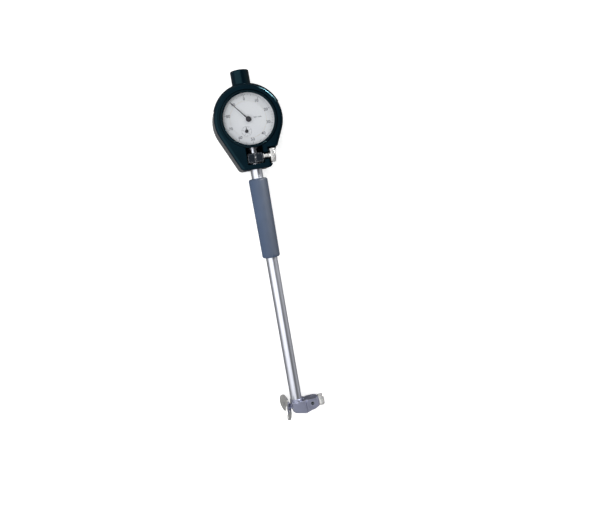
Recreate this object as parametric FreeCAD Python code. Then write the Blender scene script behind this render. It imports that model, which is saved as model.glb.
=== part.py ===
"""A dial bore gauge, lying on its back as it rests on a bench.

X runs along the measuring axis, from the guide (-X) to the anvil socket (+X).
Y runs along the tube, from the measuring head to the dial and its cap.
Z is up, square to the dial. The back of the cover and the guide lie on Z = 0.
The origin is the middle of the gauge's footprint. All lengths are in millimetres.
"""
import FreeCAD, Part
import os
from math import asin, cos, degrees, pi, radians, sin, sqrt, tan

os.makedirs("parts", exist_ok=True)
V = FreeCAD.Vector

# ---- stations along the tube, counted from the measuring axis ----
HEAD_BELOW = 9.3          # lowest point of the head, below the measuring axis
COLLAR_TOP = 7.3          # where the tube leaves the head
GRIP_START = 160.5
GRIP_LENGTH = 82.0
CLAMP_CENTRE = 263.4      # clamp screw's axis
DIAL_CENTRE = 301.5
COVER_TAIL = 50.0         # dial centre to the cover's flat bottom

# ---- heights ----
GUIDE_HALF = 22.0         # tube axis to the end of a guide pad
TUBE_HEIGHT = GUIDE_HALF  # tube axis above the bench, since a pad rests on it
COVER_DEPTH = TUBE_HEIGHT + 13.0
COVER_SPLIT = TUBE_HEIGHT  # the two shells meet in the plane of the tube axis

# ---- fits ----
RUN = 0.04                # radial running clearance
SLIDE_GAP = 0.3           # clearance between separate bodies
HAIR = 0.15               # clearance round sheet parts
PAST = 1.0                # how far a cut runs past the face it opens

# ---- tube, grip and push rod ----
TUBE_D = 12.0
TUBE_BORE = 9.0
GRIP_TOP_D = 19.4
GRIP_END_D = 18.3
GRIP_ROUND = 2.2
ROD_D = 3.0
ROD_GUIDE_W = 3.0
ROD_GUIDES = 3

# ---- measuring head ----
HEAD_LEFT = 6.2           # left face, from the tube axis
HEAD_THICK = 16.0
COLLAR_WALL = 1.5         # round the foot of the tube
COLLAR_EDGE = 1.0
HEAD_BLOCK_X = 8.6        # right edge of the thick block
HEAD_ABOVE = 5.2
HEAD_HEEL_X = 3.8         # the underside falls from this heel, left of the tube axis
HEAD_HEEL = 6.3           # depth of the heel below the measuring axis
HEAD_SIDE = 3.8           # where the left face ends, below the measuring axis
NOSE_X = 22.4             # seat of the anvil nut
NOSE_HALF = 4.9
NOSE_THICK = 12.0
BOSS_X = 15.6
BOSS_D = 14.0
BOSS_THICK = 14.6
SPIGOT_D = 8.8
SPIGOT_LENGTH = 4.8
BUSH_D = 6.6
SOCKET_D = 5.0
SOCKET_DEPTH = 12.0
NUT_D = 12.4
NUT_LENGTH = 6.2
NUT_HOLE = 6.4
SET_SCREW_D = 4.0
SET_SCREW_HEX = 2.0

# ---- contact, crank and guide ----
TRAVEL = 1.2              # measuring travel of the contact
CRANK_ARM = 3.0           # both arms of the bell crank
CRANK_T = 2.0
ARM_R = 0.7               # round toe at the end of each arm
ARM_W = 0.7
PIVOT_D = 1.6
ARM_GAP = 0.06
CONTACT_D = 4.0
CONTACT_END_D = 1.6
CONTACT_STEP = 2.6        # full diameter ends this far short of the crank pin
CONTACT_REACH = 13.0      # contact tip, from the tube axis
BALL_D = 3.0
CONTACT_BUSH_D = 6.4
GUIDE_STANDOFF = 1.8      # sprung travel of the guide
GUIDE_T = 1.6
PAD_D = 18.5
PAD_TILT = 21.0
PAD_HOLE = 2.4
GUIDE_WAIST = 8.4
GUIDE_PIN_D = 2.4
GUIDE_PIN_Z = 4.6
GUIDE_PIN_LENGTH = 7.0
GUIDE_SPRING_WIRE = 0.35
GUIDE_SPRING_TURNS = 4

# ---- cover ----
COVER_RING = 6.0          # dial rim to the cover's outer side
COVER_HOOD = 0.7          # the upper rim stands proud of the side
COVER_HOOD_ANGLE = 68.0
COVER_TAPER = 24.5        # slope of the straight sides
COVER_WALL = 2.2
COVER_EDGE = 3.0
COVER_CORNER = 5.0
COVER_SCREW_D = 3.0
COVER_SCREW_HEAD_D = 5.2
COVER_SCREW_HEAD_T = 1.8
POST_D = 5.6
HIGH_POST_ANGLE = 45.0    # upper screw posts, from the cap round the dial
LOW_POST_X = 9.6          # lower screw posts, each side of the tube
LOW_POST_RISE = 2.8       # and above the cover's bottom
CAP_D = 18.6
CAP_LENGTH = 14.4 - HAIR
CAP_NECK = 2.0            # step from the cap to its neck in the cover
CAP_CROWN = 0.7
CAP_EDGE = 0.6
WINDOW_HALF = 8.8
WINDOW_BELOW = 6.8        # clamp screw's axis to the window's lower edge
NOTCH_HALF = 8.2          # finger room beside the clamp screw's head
NOTCH_BACK = 1.4          # and behind it

# ---- clamp ----
CLAMP_D = 16.4
CLAMP_HEIGHT = 8.4
CLAMP_SLIT = 1.0
EAR_FRONT = 12.4          # tube axis to the front of the ears
EAR_ROUND = 2.8
EAR_CHAMFER = 1.0
CLAMP_SCREW_D = 3.0
CLAMP_SCREW_RISE = 8.9    # clamp screw's axis in front of the tube axis
KNOB_D = 14.6
KNOB_W = 5.6
KNOB_X = 14.6
SHOULDER_D = 6.0
WASHER_T = 0.8
FLANGE_D = 16.4
FLANGE_T = 1.6
SPIGOT = 9.0              # the clamp's spigot inside the tube

# ---- dial indicator ----
STEM_D = 8.0
STEM_SHOULDER_D = 10.0
STEM_SHOULDER_T = 2.4
SPINDLE_D = 4.6
CASE_WALL = 2.0
CASE_BACK = TUBE_HEIGHT - 12.6
CASE_FRONT = TUBE_HEIGHT + 7.2
BEZEL_D = 57.0
BEZEL_STEP = 1.5          # the rim stands outside the case
BEZEL_FACE = 3.0          # width of the rim seen from the front
BEZEL_CHAMFER = 1.0
BEZEL_RUN = 0.3           # turning gap round the case
BEZEL_FRONT = TUBE_HEIGHT + 13.6
BEZEL_SKIRT = 1.8         # how far the rim reaches back over the case
CRYSTAL_T = 1.4
CRYSTAL_BACK = TUBE_HEIGHT + 11.2
CRYSTAL_SEAT = 0.9
DIAL_T = 0.5
DIAL_SPLIT_D = 36.4       # turning ring outside, fixed plate inside
HAND_SHORT = 2.1          # dial left free beyond the long hand
HAND_TAIL = 2.6
HAND_W = 1.3
HAND_T = 0.3
HUB_D = 5.6
COUNTER_HAND = 4.2
HAND_ANGLE = -40.4        # rest position of the long hand, clockwise from the cap

# ---- movement ----
PINION_TEETH = 16
PINION_TURN = 10.0        # spindle travel for one turn of the rack pinion
GEAR_TEETH = 100
CENTRE_TEETH = 10
CENTRE_DISTANCE = 12.0
PLATE_T = 1.6
LOWER_PLATE = TUBE_HEIGHT - 8.6
UPPER_PLATE = TUBE_HEIGHT + 4.2
GEAR_T = 0.8
GEAR_Z = TUBE_HEIGHT + 2.8
ARBOR_D = 1.2
PILLAR_D = 3.4
PILLAR_INSET = 4.5        # case wall to the pillars' axes

# ---- places worked out from the sizes above ----
CASE_D = BEZEL_D - 2 * BEZEL_STEP
SIGHT_D = BEZEL_D - 2 * BEZEL_FACE
HAND_LENGTH = SIGHT_D / 2 - HAND_SHORT
COVER_R = BEZEL_D / 2 + COVER_RING
CAP_RISE = COVER_R + COVER_HOOD + HAIR + CAP_LENGTH
TOTAL_LENGTH = HEAD_BELOW + DIAL_CENTRE + CAP_RISE
Y0 = HEAD_BELOW - TOTAL_LENGTH / 2
Z0 = TUBE_HEIGHT
DIAL_Y = Y0 + DIAL_CENTRE
CLAMP_Y = Y0 + CLAMP_CENTRE
COVER_BOTTOM = DIAL_Y - COVER_TAIL
TUBE_START = Y0 + CRANK_ARM + ARM_R + 2 * ARM_GAP + SLIDE_GAP
FLANGE_BASE = CLAMP_Y - CLAMP_HEIGHT / 2 - FLANGE_T
STEM_END = CLAMP_Y - CLAMP_HEIGHT / 2
CASE_BOTTOM = DIAL_Y - CASE_D / 2
RACK_MODULE = PINION_TURN / (pi * PINION_TEETH)
GEAR_MODULE = 2 * CENTRE_DISTANCE / (GEAR_TEETH + CENTRE_TEETH)
RACK_LINE = SPINDLE_D / 2 - RACK_MODULE
COUNTER_X = -(RACK_LINE + RACK_MODULE * PINION_TEETH / 2)
COUNTER_Y = DIAL_Y - sqrt(CENTRE_DISTANCE ** 2 - COUNTER_X ** 2)
HAIR_X = -COUNTER_X
HAIR_Y = 2 * DIAL_Y - COUNTER_Y
HAND_Z = CASE_FRONT + DIAL_T + 1.4
COUNTER_HAND_Z = CASE_FRONT + DIAL_T + 0.4


# ---- helpers ----
AXES = {"x": V(1, 0, 0), "y": V(0, 1, 0), "z": V(0, 0, 1)}


def cyl(axis, x, y, z, d, length):
    """A cylinder of diameter d from (x, y, z) along +axis."""
    return Part.makeCylinder(d / 2, length, V(x, y, z), AXES[axis])


def ring(axis, x, y, z, d, bore, length):
    """A plain tube from (x, y, z) along +axis."""
    return cyl(axis, x, y, z, d, length).cut(cyl(axis, x, y, z, bore, length))


def box(x0, x1, y0, y1, z0, z1):
    return Part.makeBox(x1 - x0, y1 - y0, z1 - z0, V(x0, y0, z0))


def turned(axis, x, y, z, profile):
    """A turned piece: profile is a list of (distance along axis, radius) from one end to the other."""
    side = V(0, 0, 1) if axis != "z" else V(1, 0, 0)
    base = V(x, y, z)
    points = [base + AXES[axis] * s + side * r for s, r in profile]
    points = [base + AXES[axis] * profile[0][0]] + points + [base + AXES[axis] * profile[-1][0]]
    distinct = [points[0]]
    for point in points[1:]:
        if point.distanceToPoint(distinct[-1]) > 1e-6:
            distinct.append(point)
    face = Part.Face(Part.makePolygon(distinct + [distinct[0]]))
    return face.revolve(base, AXES[axis], 360)


def slab(points, z0, z1):
    """A flat plate between two heights from its outline in XY."""
    wire = Part.makePolygon([V(x, y, z0) for x, y in points + points[:1]])
    return Part.Face(wire).extrude(V(0, 0, z1 - z0))


def gear(x, y, z, teeth, module, thickness, turn=0.0):
    """A spur gear with straight-flanked teeth; turn is in degrees, clockwise from +Y."""
    root, tip = module * (teeth / 2 - 1.15), module * (teeth / 2 + 0.8)
    step = 360.0 / teeth
    points = []
    for i in range(teeth):
        for share, radius in ((-0.27, root), (-0.09, tip), (0.09, tip), (0.27, root)):
            angle = radians(turn + (i + share) * step)
            points.append((x + radius * sin(angle), y + radius * cos(angle)))
    return slab(points, z, z + thickness)


def coil(axis, x, y, z, coil_d, wire, length, turns):
    """A compression spring; coil_d is measured to the middle of its wire."""
    helix = Part.makeHelix((length - wire) / turns, length - wire, coil_d / 2)
    section = Part.makePolygon([V(coil_d / 2 + wire / 2 * cos(radians(a)), 0, wire / 2 * sin(radians(a)))
                                for a in (0, 60, 120, 180, 240, 300, 0)])
    spring = Part.Wire(helix.Edges).makePipeShell([section], True, True)
    spring.translate(V(0, 0, wire / 2))
    spring.rotate(V(0, 0, 0), V(0, 0, 1).cross(AXES[axis]), 90 if axis != "z" else 0)
    spring.translate(V(x, y, z))
    return spring


def save(name, shape):
    shape = shape.removeSplitter() if len(shape.Solids) == 1 else shape
    assert shape.isValid() and shape.Solids, name
    shape.exportStep("parts/%s.step" % name)
    print("%-22s %9.1f mm3 %3d faces" % (name, shape.Volume, len(shape.Faces)))


# ---- measuring head ----
def head_outline(right, above_right, below_right):
    """The head's front outline, from its left face to a given right edge."""
    corner = 0.6
    return [
        (-HEAD_LEFT, Y0 - HEAD_SIDE),
        (-HEAD_HEEL_X, Y0 - HEAD_HEEL),
        (HEAD_BLOCK_X, Y0 - HEAD_BELOW),
        (right, Y0 - below_right),
        (right, Y0 + above_right),
        (-HEAD_LEFT + corner, Y0 + HEAD_ABOVE),
        (-HEAD_LEFT, Y0 + HEAD_ABOVE - corner),
    ]


def head_body():
    half, nose = HEAD_THICK / 2, NOSE_THICK / 2
    outline = head_outline(NOSE_X, NOSE_HALF, NOSE_HALF)
    block = slab(outline, Z0 - half, Z0 + half)
    beyond = box(HEAD_BLOCK_X, NOSE_X + PAST, Y0 - BOSS_D, Y0 + BOSS_D, Z0 - BOSS_D, Z0 + BOSS_D)
    block = block.cut(beyond)
    rims = [e for e in block.Edges if abs(e.BoundBox.ZMax - e.BoundBox.ZMin) < 1e-6]
    block = block.makeChamfer(0.7, rims)
    web = slab(outline, Z0 - nose, Z0 + nose)
    boss = cyl("z", BOSS_X, Y0, Z0 - BOSS_THICK / 2, BOSS_D, BOSS_THICK)
    boss = boss.makeChamfer(0.5, [e for e in boss.Edges if e.Closed and e.BoundBox.ZLength < 1e-6])
    boss = boss.common(slab(outline, Z0 - half, Z0 + half))
    collar_r = TUBE_D / 2 + COLLAR_WALL
    collar = turned("y", 0, Y0, Z0, [(0, collar_r), (COLLAR_TOP - COLLAR_EDGE, collar_r),
                                     (COLLAR_TOP, collar_r - COLLAR_EDGE)])
    left = box(-2 * HEAD_LEFT, -HEAD_LEFT, Y0 - collar_r, Y0 + COLLAR_TOP, Z0 - collar_r, Z0 + collar_r)
    nose_round = cyl("x", BOSS_X, Y0, Z0, 2 * NOSE_HALF + 1.0, NOSE_X - BOSS_X)
    spigot = cyl("x", NOSE_X, Y0, Z0, SPIGOT_D, SPIGOT_LENGTH)
    body = block.fuse([web, boss, collar.cut(left), nose_round, spigot])

    tube_seat = cyl("y", 0, TUBE_START, Z0, TUBE_D, COLLAR_TOP)
    crank_room = box(-CRANK_ARM - 1.6, 1.8, Y0 - 1.9, TUBE_START + 0.2,
                     Z0 - CRANK_T / 2 - SLIDE_GAP, Z0 + CRANK_T / 2 + SLIDE_GAP)
    plunger_room = cyl("x", -HEAD_LEFT - 1, Y0, Z0, CONTACT_D + 2 * SLIDE_GAP,
                       HEAD_LEFT + 1 - CRANK_ARM - CONTACT_STEP + TRAVEL + SLIDE_GAP)
    rod_room = cyl("y", 0, Y0 + CRANK_ARM, Z0, ROD_D + 2 * SLIDE_GAP, TUBE_START - Y0)
    bush_hole = cyl("x", -HEAD_LEFT - 1, Y0, Z0, CONTACT_BUSH_D, HEAD_LEFT + 1 - CRANK_ARM - 1.6)
    pin_hole = cyl("z", -CRANK_ARM, Y0 + CRANK_ARM, Z0 - half - 1, PIVOT_D, HEAD_THICK - 1.5)
    bush_seat = cyl("x", NOSE_X + SPIGOT_LENGTH - SOCKET_DEPTH, Y0, Z0, BUSH_D, SOCKET_DEPTH + 1)
    screw_hole = cyl("z", BOSS_X, Y0, Z0, SET_SCREW_D, BOSS_THICK)
    body = body.cut(tube_seat.fuse([crank_room, bush_hole, plunger_room, rod_room]))
    body = body.cut(Part.makeCompound([pin_hole, bush_seat]))
    body = body.cut(screw_hole)
    for side in (-1, 1):
        body = body.cut(cyl("x", -HEAD_LEFT - 1, Y0, Z0 + side * GUIDE_PIN_Z,
                            GUIDE_PIN_D + 2 * RUN, guide_hole_depth() + 1))
    return body


def guide_hole_depth():
    return GUIDE_PIN_LENGTH - GUIDE_STANDOFF + guide_spring_length() + SLIDE_GAP


def guide_spring_length():
    return GUIDE_STANDOFF + GUIDE_SPRING_WIRE * (GUIDE_SPRING_TURNS + 1.5)


def contact_bush():
    bush = ring("x", -HEAD_LEFT, Y0, Z0, CONTACT_BUSH_D, CONTACT_D + 2 * RUN,
                HEAD_LEFT - CRANK_ARM - 1.6)
    return bush


def contact_point():
    inner = -CRANK_ARM - ARM_R - ARM_GAP
    step = -CRANK_ARM - CONTACT_STEP
    tip = -CONTACT_REACH + BALL_D / 2
    return turned("x", 0, Y0, Z0, [(tip, BALL_D / 2 + 0.15), (tip + 0.6, CONTACT_D / 2), (step, CONTACT_D / 2),
                                   (step + 0.3, CONTACT_END_D / 2), (inner, CONTACT_END_D / 2)])


def contact_ball():
    """Hard tip brazed to the end of the contact, half of it standing out."""
    ball = Part.makeSphere(BALL_D / 2, V(-CONTACT_REACH + BALL_D / 2, Y0, Z0), V(1, 0, 0))
    keep = box(-CONTACT_REACH - 1, -CONTACT_REACH + BALL_D / 2, Y0 - 5, Y0 + 5, Z0 - 5, Z0 + 5)
    return ball.common(keep)


def bell_crank():
    z, px, py = Z0 - CRANK_T / 2, -CRANK_ARM, Y0 + CRANK_ARM
    hub = cyl("z", px, py, z, 2.4, CRANK_T)
    down = box(px - ARM_W / 2, px + ARM_W / 2, Y0, py, z, z + CRANK_T)
    across = box(px, 0, py - ARM_W / 2, py + ARM_W / 2, z, z + CRANK_T)
    toes = [cyl("z", px, Y0, z, 2 * ARM_R, CRANK_T), cyl("z", 0, py, z, 2 * ARM_R, CRANK_T)]
    crank = hub.fuse([down, across] + toes)
    return crank.cut(cyl("z", px, py, z - 1, PIVOT_D + 2 * RUN, CRANK_T + 2))


def crank_pin():
    return cyl("z", -CRANK_ARM, Y0 + CRANK_ARM, Z0 - HEAD_THICK / 2 + 0.4, PIVOT_D, HEAD_THICK - 3.2)


def anvil_bush():
    return ring("x", NOSE_X + SPIGOT_LENGTH - SOCKET_DEPTH, Y0, Z0, BUSH_D, SOCKET_D, SOCKET_DEPTH)


def anvil_nut():
    start = NOSE_X + SLIDE_GAP
    edge = 0.6
    body = turned("x", start, Y0, Z0, [(0, NUT_D / 2 - edge), (edge, NUT_D / 2),
                                       (NUT_LENGTH - edge, NUT_D / 2), (NUT_LENGTH, NUT_D / 2 - edge)])
    thread = cyl("x", start - 1, Y0, Z0, SPIGOT_D + 2 * RUN, SPIGOT_LENGTH + 1)
    return body.cut(thread.fuse(cyl("x", start, Y0, Z0, NUT_HOLE, NUT_LENGTH + 1)))


def set_screw():
    top = Z0 + BOSS_THICK / 2 - 0.9
    bottom = Z0 + BUSH_D / 2
    screw = cyl("z", BOSS_X, Y0, bottom, SET_SCREW_D, top - bottom)
    radius = SET_SCREW_HEX / sqrt(3)
    hexagon = [(BOSS_X + radius * cos(radians(60 * i)), Y0 + radius * sin(radians(60 * i))) for i in range(6)]
    return screw.cut(slab(hexagon, top - 1.4, top + 1))


def pad_centre(side):
    """Middle of a pad's outer face, on the side towards +Z or -Z."""
    drop = GUIDE_HALF - PAD_D / 2 * cos(radians(PAD_TILT)) - GUIDE_T * sin(radians(PAD_TILT))
    bend = GUIDE_PIN_Z + GUIDE_PIN_D / 2
    x = -HEAD_LEFT - GUIDE_STANDOFF - GUIDE_T - (drop - bend) * tan(radians(PAD_TILT))
    return V(x, Y0, Z0 + side * drop)


def guide_plate():
    """A cradle bent from strip: a flat waist and two round pads leaning outward."""
    inner = -HEAD_LEFT - GUIDE_STANDOFF
    bend = GUIDE_PIN_Z + GUIDE_PIN_D / 2
    plate = box(inner - GUIDE_T, inner, Y0 - GUIDE_WAIST / 2, Y0 + GUIDE_WAIST / 2, Z0 - bend, Z0 + bend)
    for side in (-1, 1):
        middle = pad_centre(side)
        outward = V(-cos(radians(PAD_TILT)), 0, -side * sin(radians(PAD_TILT)))
        pad = Part.makeCylinder(PAD_D / 2, GUIDE_T, middle - outward * GUIDE_T, outward)
        pad = pad.cut(box(-50, 50, Y0 - PAD_D, Y0 + PAD_D, Z0 - bend, Z0 + bend))
        start = V(inner - GUIDE_T, 0, Z0 + side * bend)
        profile = [start, V(inner, 0, start.z), V(middle.x, 0, middle.z) - outward * GUIDE_T,
                   V(middle.x, 0, middle.z)]
        arm = Part.Face(Part.makePolygon(profile + profile[:1]))
        arm.translate(V(0, Y0 - GUIDE_WAIST / 2, 0))
        plate = plate.fuse([arm.extrude(V(0, GUIDE_WAIST, 0)), pad])
        plate = plate.cut(Part.makeCylinder(PAD_HOLE / 2, 4 * GUIDE_T, middle - outward * 3 * GUIDE_T, outward))
    return plate.cut(cyl("x", inner - 3, Y0, Z0, CONTACT_D + 1.2, 6))


def guide_pins():
    inner = -HEAD_LEFT - GUIDE_STANDOFF
    return Part.makeCompound([cyl("x", inner, Y0, Z0 + side * GUIDE_PIN_Z, GUIDE_PIN_D, GUIDE_PIN_LENGTH)
                              for side in (-1, 1)])


def guide_springs():
    start = -HEAD_LEFT - GUIDE_STANDOFF + GUIDE_PIN_LENGTH + 0.05
    return Part.makeCompound([coil("x", start, Y0, Z0 + side * GUIDE_PIN_Z, GUIDE_PIN_D - 2 * GUIDE_SPRING_WIRE,
                                   GUIDE_SPRING_WIRE, guide_spring_length(), GUIDE_SPRING_TURNS)
                              for side in (-1, 1)])


# ---- tube, grip and push rod ----
def tube():
    length = FLANGE_BASE - TUBE_START
    return ring("y", 0, TUBE_START, Z0, TUBE_D, TUBE_BORE, length)


def grip():
    start, end = Y0 + GRIP_START, Y0 + GRIP_START + GRIP_LENGTH
    r0, r1, k = GRIP_END_D / 2, GRIP_TOP_D / 2, GRIP_ROUND
    steps = [(0, r0 - k)]
    for angle in (30, 60, 90):
        steps.append((k - k * cos(radians(angle)), r0 - k + k * sin(radians(angle))))
    for angle in (90, 60, 30, 0):
        steps.append((end - start - k + k * cos(radians(angle)), r1 - k + k * sin(radians(angle))))
    body = turned("y", 0, start, Z0, steps)
    return body.cut(cyl("y", 0, start - 1, Z0, TUBE_D, GRIP_LENGTH + 2))


def rod_span():
    """Where the push rod starts and ends: from the crank's toe to under the spindle's tip."""
    return Y0 + CRANK_ARM + ARM_R + ARM_GAP / 2, STEM_END - 6.0


def push_rod():
    start, end = rod_span()
    return turned("y", 0, 0, Z0, [(start, ROD_D / 2 - 0.4), (start + 0.4, ROD_D / 2),
                                  (end - 0.4, ROD_D / 2), (end, ROD_D / 2 - 0.4)])


def rod_guides():
    """Plastic rings that keep the push rod in the middle of the tube."""
    start, end = Y0 + GRIP_START * 0.25, Y0 + GRIP_START + GRIP_LENGTH - 8
    pitch = (end - start) / (ROD_GUIDES - 1)
    return Part.makeCompound([ring("y", 0, start + i * pitch, Z0, TUBE_BORE, ROD_D + 2 * RUN, ROD_GUIDE_W)
                              for i in range(ROD_GUIDES)])


# ---- clamp that holds the indicator's stem ----
def clamp_ears(low, high):
    """Both ears in one block: corners rounded as seen from the front, edges chamfered."""
    ears = box(-CLAMP_D / 2, CLAMP_D / 2, low, high, Z0, Z0 + EAR_FRONT)
    upper = [e for e in ears.Edges if e.BoundBox.ZLength > EAR_FRONT - 0.1 and e.BoundBox.YMin > high - 0.1]
    ears = ears.makeFillet(EAR_ROUND, upper)
    lower = [e for e in ears.Edges if e.BoundBox.ZLength > EAR_FRONT - 0.1 and e.BoundBox.YMax < low + 0.1]
    ears = ears.makeFillet(EAR_ROUND / 2, lower)
    front = [e for e in ears.Edges if e.BoundBox.ZMin > Z0 + EAR_FRONT - 0.1]
    return ears.makeChamfer(EAR_CHAMFER, front)


def clamp_body():
    base = CLAMP_Y - CLAMP_HEIGHT / 2
    barrel = cyl("y", 0, base, Z0, CLAMP_D, CLAMP_HEIGHT)
    ears = clamp_ears(base - FLANGE_T, base + CLAMP_HEIGHT)
    spigot = cyl("y", 0, base - FLANGE_T - SPIGOT, Z0, TUBE_BORE, FLANGE_T + SPIGOT)
    flange = cyl("y", 0, base - FLANGE_T, Z0, FLANGE_D, FLANGE_T)
    body = barrel.fuse([ears, flange, spigot])
    body = body.cut(cyl("y", 0, base, Z0, STEM_D, CLAMP_HEIGHT + 1))
    below = FLANGE_T + SPIGOT
    body = body.cut(cyl("y", 0, base - below - PAST, Z0, SPINDLE_D + 2 * SLIDE_GAP, below + 2 * PAST))
    half, top, front = CLAMP_SLIT / 2, base + CLAMP_HEIGHT + PAST, Z0 + EAR_FRONT + PAST
    slit = box(-half, half, base - FLANGE_T - PAST, top, Z0 + FLANGE_D / 2, front)
    slit = slit.fuse(box(-half, half, base, top, Z0 + PAST, front))
    tapped = cyl("x", -CLAMP_D, CLAMP_Y, Z0 + CLAMP_SCREW_RISE, CLAMP_SCREW_D + 2 * RUN, CLAMP_D)
    clear = cyl("x", 0, CLAMP_Y, Z0 + CLAMP_SCREW_RISE, CLAMP_SCREW_D + 0.4, CLAMP_D)
    return body.cut(slit).cut(tapped.fuse(clear))


def clamp_washer():
    bore = CLAMP_SCREW_D + 2 * RUN
    return ring("x", CLAMP_D / 2, CLAMP_Y, Z0 + CLAMP_SCREW_RISE, SHOULDER_D + 1.0, bore, WASHER_T)


def clamp_screw():
    start = -CLAMP_D / 2 + 0.6
    shoulder = CLAMP_D / 2 + WASHER_T
    rim, dish = 0.7, 0.8
    r, k = KNOB_D / 2, SHOULDER_D / 2
    end = KNOB_X + KNOB_W
    return turned("x", 0, CLAMP_Y, Z0 + CLAMP_SCREW_RISE,
                  [(start, CLAMP_SCREW_D / 2), (shoulder, CLAMP_SCREW_D / 2), (shoulder, k), (KNOB_X, k),
                   (KNOB_X, r - rim), (KNOB_X + rim, r), (end - rim, r), (end, r - rim), (end, k + 1.2),
                   (end - dish, k + 0.4)])


# ---- protective cover ----
def cover_outline(inset):
    """The teardrop outline: an arc round the dial, two straight sides and a flat bottom."""
    r = COVER_R - inset
    slope = radians(COVER_TAPER)
    touch = (r * cos(slope), -r * sin(slope))
    bottom = COVER_TAIL - inset
    foot = (touch[0] - (bottom + touch[1]) * tan(slope), -bottom)
    corner = max(COVER_CORNER - inset, 0.5)
    half_turn = (pi / 2 - slope) / 2
    run = corner * tan(half_turn)
    up = (foot[0] + run * sin(slope), foot[1] + run * cos(slope))
    in_ = (foot[0] - run, foot[1])
    bulge = (foot[0] - run + corner * sin(half_turn), foot[1] + corner * (1 - cos(half_turn)))
    point = lambda p, side=1: V(side * p[0], DIAL_Y + p[1], 0)
    edges = [
        Part.Arc(point(touch), V(0, DIAL_Y + r, 0), point(touch, -1)).toShape(),
        Part.LineSegment(point(touch, -1), point(up, -1)).toShape(),
        Part.Arc(point(up, -1), point(bulge, -1), point(in_, -1)).toShape(),
        Part.LineSegment(point(in_, -1), point(in_)).toShape(),
        Part.Arc(point(in_), point(bulge), point(up)).toShape(),
        Part.LineSegment(point(up), point(touch)).toShape(),
    ]
    return Part.Wire(edges)


def cover_block(inset, z0, z1):
    face = Part.Face(cover_outline(inset))
    face.translate(V(0, 0, z0))
    return face.extrude(V(0, 0, z1 - z0))


def cover_posts(z0, z1, d):
    """Four screw posts in the corners of the cover."""
    radius, angle = BEZEL_D / 2 + 2.2, radians(HIGH_POST_ANGLE)
    places = []
    for side in (-1, 1):
        places.append((side * radius * sin(angle), DIAL_Y + radius * cos(angle)))
        places.append((side * LOW_POST_X, COVER_BOTTOM + LOW_POST_RISE))
    return [cyl("z", x, y, z0, d, z1 - z0) for x, y in places]


def cover_ports():
    """Holes for the tube's clamp flange at the bottom and the spindle cap at the top."""
    low = cyl("y", 0, COVER_BOTTOM - PAST, Z0, TUBE_D + 0.6, COVER_WALL + 2 * PAST)
    wall = COVER_WALL + COVER_HOOD
    high = cyl("y", 0, DIAL_Y + COVER_R - COVER_WALL - PAST, Z0, CAP_D - 2 * CAP_NECK, wall + 2 * PAST)
    return [low, high]


def knob_room():
    """The notch in the cover's side that lets fingers reach the clamp screw's head."""
    floor = Z0 + CLAMP_SCREW_RISE - KNOB_D / 2 - NOTCH_BACK
    return box(KNOB_X - NOTCH_BACK, COVER_R, CLAMP_Y - NOTCH_HALF, CLAMP_Y + NOTCH_HALF, floor, COVER_DEPTH + 1)


def cover_front():
    z0, z1 = COVER_SPLIT, COVER_DEPTH
    shell = cover_block(0, z0, z1)
    rim = [e for e in shell.Edges if e.BoundBox.ZMin > z1 - 0.01]
    shell = shell.makeFillet(COVER_EDGE, rim)
    hood = cyl("z", 0, DIAL_Y, z0, 2 * (COVER_R + COVER_HOOD), z1 - z0 - COVER_EDGE)
    reach = 2 * COVER_R
    a = radians(COVER_HOOD_ANGLE)
    wedge = slab([(0, DIAL_Y), (reach * sin(a), DIAL_Y + reach * cos(a)), (reach, DIAL_Y + reach),
                  (-reach, DIAL_Y + reach), (-reach * sin(a), DIAL_Y + reach * cos(a))], z0, z1)
    shell = shell.fuse(hood.common(wedge))
    hollow = cover_block(COVER_WALL, z0 - 1, z1 - COVER_WALL)
    shell = shell.cut(hollow)
    shell = shell.fuse([p.common(cover_block(0.5, z0, z1)) for p in cover_posts(z0, z1 - COVER_WALL, POST_D)])
    shell = shell.cut(Part.makeCompound(cover_posts(z0 - 1, z0 + 8, COVER_SCREW_D)))
    shell = shell.cut(cyl("z", 0, DIAL_Y, z0 - 1, BEZEL_D + 2 * SLIDE_GAP, z1))
    window_low = CLAMP_Y - WINDOW_BELOW
    window = box(-WINDOW_HALF, WINDOW_HALF, window_low, DIAL_Y, z0 + 1, z1 + 1)
    slot_half = SHOULDER_D / 2 + 2 * SLIDE_GAP
    slot = box(0, KNOB_X, CLAMP_Y - slot_half, CLAMP_Y + slot_half, z0 + 1, z1 + 1)
    ports = cover_ports()
    return shell.cut(window.fuse([slot, knob_room()])).cut(Part.makeCompound(ports))


def cover_back():
    shell = cover_block(0, 0, COVER_SPLIT)
    rim = [e for e in shell.Edges if e.BoundBox.ZMax < 0.01]
    shell = shell.makeFillet(COVER_EDGE, rim)
    shell = shell.cut(cover_block(COVER_WALL, COVER_WALL, COVER_SPLIT + 1))
    shell = shell.fuse([p.common(cover_block(0.5, 0, COVER_SPLIT))
                        for p in cover_posts(COVER_WALL, COVER_SPLIT, POST_D)])
    shell = shell.cut(Part.makeCompound(cover_posts(-1, COVER_SPLIT + 1, COVER_SCREW_D)))
    shell = shell.cut(Part.makeCompound(cover_posts(-1, COVER_SCREW_HEAD_T + 0.2, COVER_SCREW_HEAD_D + 0.4)))
    return shell.cut(knob_room()).cut(Part.makeCompound(cover_ports()))


def cover_screws():
    screws = []
    heads = cover_posts(0.2, 0.2 + COVER_SCREW_HEAD_T, COVER_SCREW_HEAD_D)
    for head, stem in zip(heads, cover_posts(0.2, COVER_SPLIT + 7.0, COVER_SCREW_D)):
        c = head.BoundBox.Center
        slot = box(c.x - 3, c.x + 3, c.y - 0.4, c.y + 0.4, 0, 1.0)
        screws.append(head.fuse(stem).cut(slot))
    return Part.makeCompound(screws)


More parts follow.
